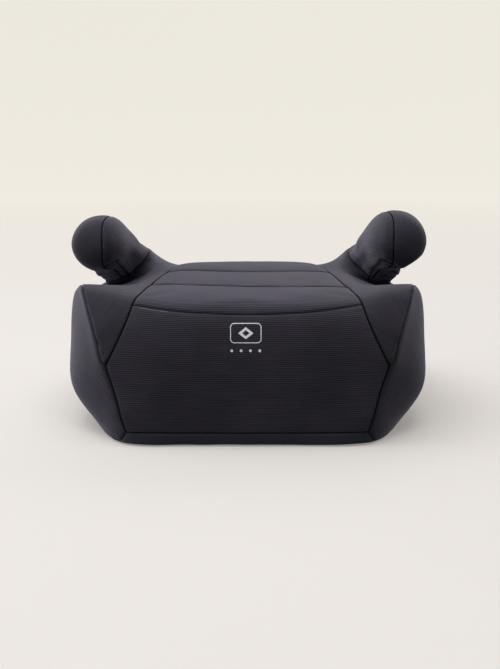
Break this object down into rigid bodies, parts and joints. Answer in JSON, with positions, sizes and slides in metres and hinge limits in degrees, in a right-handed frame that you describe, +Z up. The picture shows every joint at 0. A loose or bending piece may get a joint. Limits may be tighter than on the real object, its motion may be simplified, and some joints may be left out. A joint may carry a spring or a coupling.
{
  "type": "booster seat",
  "caption": "Backless child booster seat with two padded horn armrests, belt slots under them, a sewn panelled cover and a moulded base on rubber feet",
  "frame": {"origin": "centre of the footprint, at the height of the feet's undersides", "axes": "+Z up, -Y is the front edge of the seat, +X is the right side seen from the front"},
  "size_m": [0.4118, 0.381, 0.2342],
  "materials": {
    "fabric": "ribbed weave, matt",
    "hem_fabric": "plain binding, matt",
    "foam": "open-cell padding",
    "shell": "moulded, lightly textured",
    "steel": "zinc-plated screw",
    "rubber": "matt",
    "elastic": "round woven cord"
  },
  "bodies": {
    "root": {"base_shell": "shell", "base_tray": "shell", "arm_core_left": "shell", "arm_core_right": "shell", "arm_screw_left_front": "steel", "arm_screw_left_rear": "steel", "arm_screw_right_front": "steel", "arm_screw_right_rear": "steel", "seat_foam": "foam", "front_pad": "foam", "wing_pad_left": "foam", "wing_pad_right": "foam", "arm_foam_left": "foam", "arm_foam_right": "foam", "cover_center": "fabric", "cover_rear": "fabric", "cover_gusset_left": "fabric", "cover_gusset_right": "fabric", "cover_side_left": "fabric", "cover_side_right": "fabric", "arm_cover_inner_left": "fabric", "arm_cover_inner_right": "fabric", "arm_cover_outer_left": "fabric", "arm_cover_outer_right": "fabric", "cover_hem": "hem_fabric", "hem_elastic": "elastic", "foot_front_left": "rubber", "foot_front_right": "rubber", "foot_rear_left": "rubber", "foot_rear_right": "rubber"}
  },
  "joints": []
}
